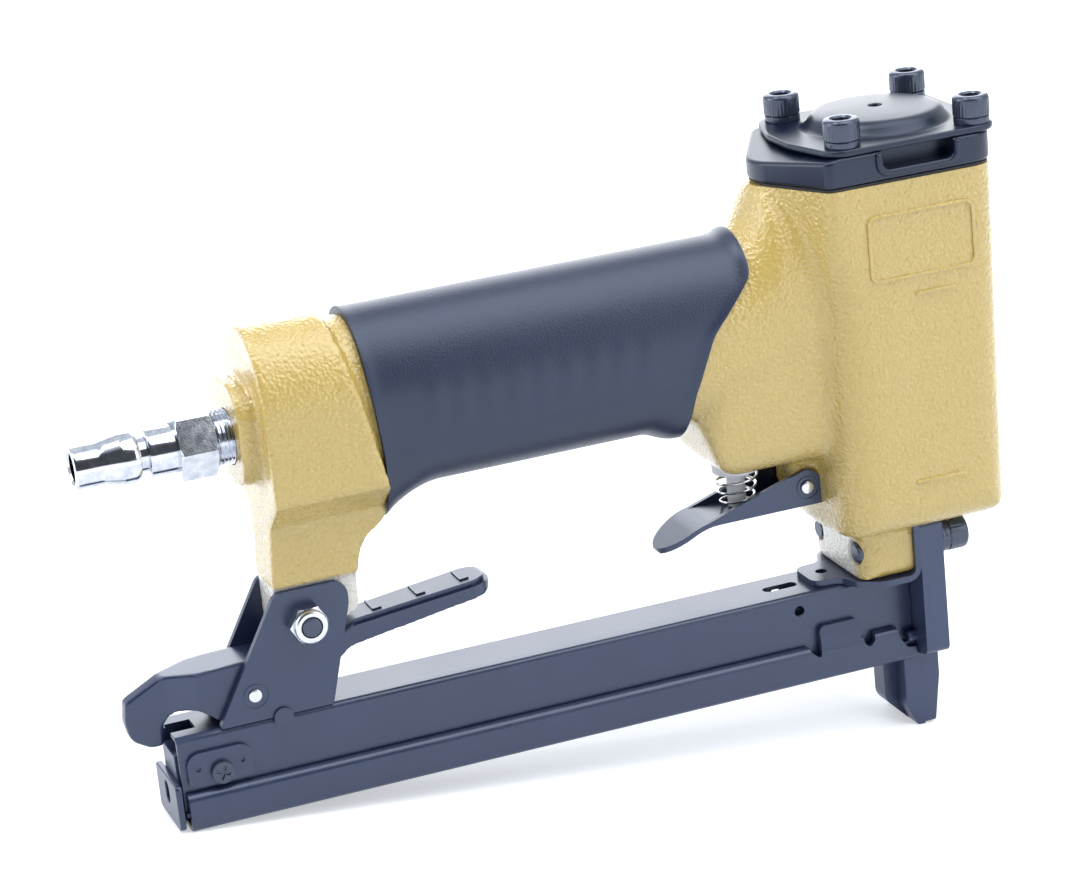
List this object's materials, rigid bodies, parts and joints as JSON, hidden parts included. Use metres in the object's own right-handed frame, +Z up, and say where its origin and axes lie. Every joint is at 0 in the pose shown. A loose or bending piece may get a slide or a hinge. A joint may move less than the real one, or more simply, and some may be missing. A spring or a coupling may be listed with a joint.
{
  "type": "pneumatic upholstery stapler",
  "caption": "Hand-held air stapler for upholstery: cast head and gripped handle, finger trigger, bottom-loading staple magazine with rear latch, and quick air plug.",
  "frame": {"origin": "centre of the nose tip, on the front half's face that meets the work", "axes": "+Z up the driver's axis away from the work, +X forwards, handle and magazine along -X, Y across the symmetric width"},
  "size_m": [0.2179, 0.0426, 0.1547],
  "materials": {
    "gold_casting": "hammered gold paint on cast aluminium",
    "cap_black": "satin black",
    "sheet_black": "blue-black satin on pressed steel",
    "nose_black": "blackened hardened steel",
    "screw_black": "black oxide",
    "grip_rubber": "smooth satin rubber",
    "seal_rubber": "matt",
    "bumper_rubber": "amber polyurethane",
    "valve_plastic": "black acetal",
    "inner_alloy": "turned",
    "bright_steel": "bright",
    "chrome": "bright nickel plate"
  },
  "bodies": {
    "tool": {"gun_body": "gold_casting", "cylinder_cap": "cap_black", "exhaust_cover": "cap_black", "front_bracket": "sheet_black", "magazine_channel": "sheet_black", "side_plates": "sheet_black", "rear_bracket": "sheet_black", "front_plate": "nose_black", "nose_guide": "nose_black", "locating_pins": "nose_black", "cap_screws": "screw_black", "cap_lock_washers": "screw_black", "front_screws": "screw_black", "front_washers": "screw_black", "front_lock_washers": "screw_black", "side_plate_screws": "screw_black", "bracket_bolt": "screw_black", "handle_grip": "grip_rubber", "cap_gasket": "seal_rubber", "sleeve_o_rings": "seal_rubber", "bumper": "bumper_rubber", "valve_housing": "valve_plastic", "cylinder_sleeve": "inner_alloy", "trigger_pin": "bright_steel", "trigger_spring": "bright_steel", "head_valve_spring": "bright_steel", "latch_pin": "bright_steel", "latch_spring": "bright_steel", "air_plug": "chrome", "bracket_nut": "chrome"},
    "trigger": {"trigger": "sheet_black"},
    "valve_stem": {"valve_stem": "valve_plastic", "stem_o_ring": "seal_rubber"},
    "driver": {"piston": "inner_alloy", "piston_o_ring": "seal_rubber", "driver_blade": "bright_steel", "driver_pin": "bright_steel"},
    "head_valve": {"head_valve": "inner_alloy", "head_valve_o_ring": "seal_rubber"},
    "magazine_slide": {"magazine_slide": "sheet_black", "slide_end_plate": "sheet_black", "staple_rail": "bright_steel", "guide_rod": "bright_steel", "pusher_spring": "bright_steel"},
    "pusher": {"pusher": "bright_steel"},
    "latch": {"latch_lever": "sheet_black"}
  },
  "joints": [
    {"name": "trigger_pull", "type": "hinge", "parent": "tool", "child": "trigger", "pos_m": [-0.0274, 0, 0.066], "axis": [0, 1, 0], "range_deg": [0, 8], "stiffness_Nm_per_rad": 0.3, "springref_deg": -17.19, "deforming": ["trigger_spring"]},
    {"name": "stem_lift", "type": "slide", "parent": "tool", "child": "valve_stem", "axis": [0, 0, 1], "range_m": [0, 0.0024]},
    {"name": "driver_stroke", "type": "slide", "parent": "tool", "child": "driver", "axis": [0, 0, -1], "range_m": [0, 0.039]},
    {"name": "head_valve_lift", "type": "slide", "parent": "tool", "child": "head_valve", "axis": [0, 0, 1], "range_m": [0, 0.0035], "stiffness_N_per_m": 1500, "springref_m": -0.003, "deforming": ["head_valve_spring"]},
    {"name": "magazine_draw", "type": "slide", "parent": "tool", "child": "magazine_slide", "axis": [-1, 0, 0], "range_m": [0, 0.1]},
    {"name": "pusher_travel", "type": "slide", "parent": "magazine_slide", "child": "pusher", "axis": [-1, 0, 0], "range_m": [0, 0.13], "stiffness_N_per_m": 20, "springref_m": -0.1, "deforming": ["pusher_spring"]},
    {"name": "latch_press", "type": "hinge", "parent": "tool", "child": "latch", "pos_m": [-0.1653, 0, 0.0462], "axis": [0, 1, 0], "range_deg": [0, 10], "stiffness_Nm_per_rad": 0.4, "springref_deg": -17.19}
  ],
  "couplings": [
    {"joint": "stem_lift", "follows": "trigger_pull", "m_per_rad": 0.0165}
  ]
}
